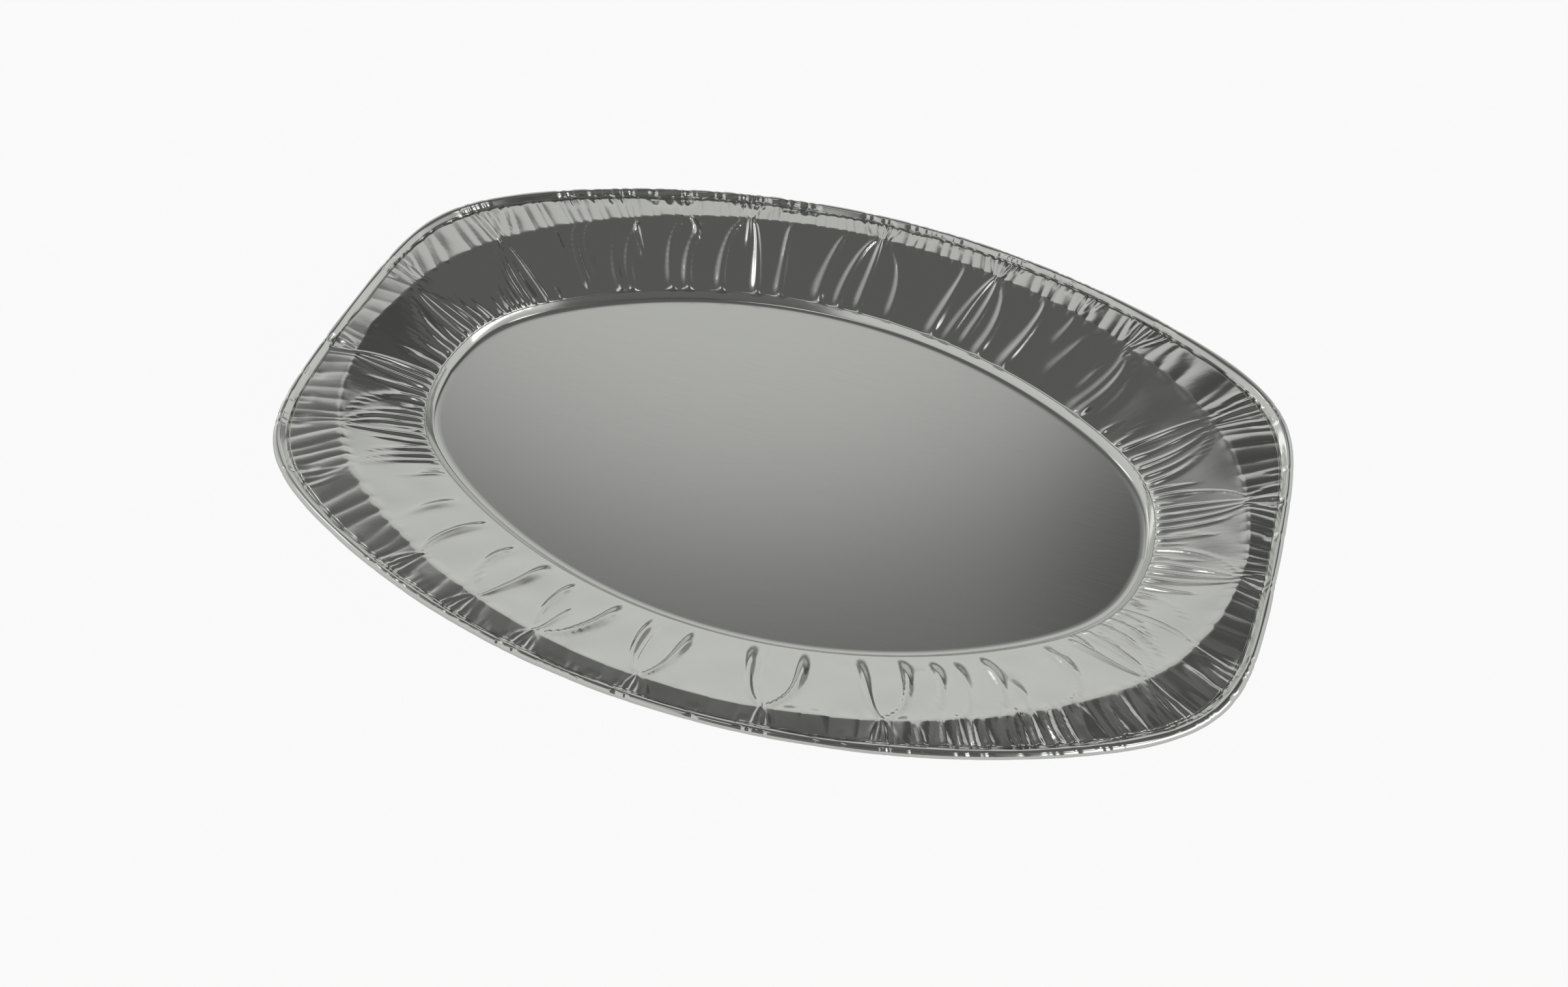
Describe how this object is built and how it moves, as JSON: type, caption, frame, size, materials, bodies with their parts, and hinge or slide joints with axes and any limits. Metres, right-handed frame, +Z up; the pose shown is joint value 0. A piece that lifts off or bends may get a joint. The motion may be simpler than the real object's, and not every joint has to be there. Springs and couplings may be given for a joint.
{
  "type": "foil serving platter",
  "caption": "Long shallow serving platter pressed from aluminium foil, with a flat oval base, a wide gathered flange and a rolled rim.",
  "frame": {"origin": "under the middle of the flat base panel, on the surface that the platter rests on", "axes": "+X along the platter's length, +Y across it, +Z up out of the dish"},
  "size_m": [0.4338, 0.286, 0.024],
  "materials": {
    "foil": "bright rolled foil with a fine grain along the sheet"
  },
  "bodies": {
    "root": {"platter": "foil"}
  },
  "joints": []
}
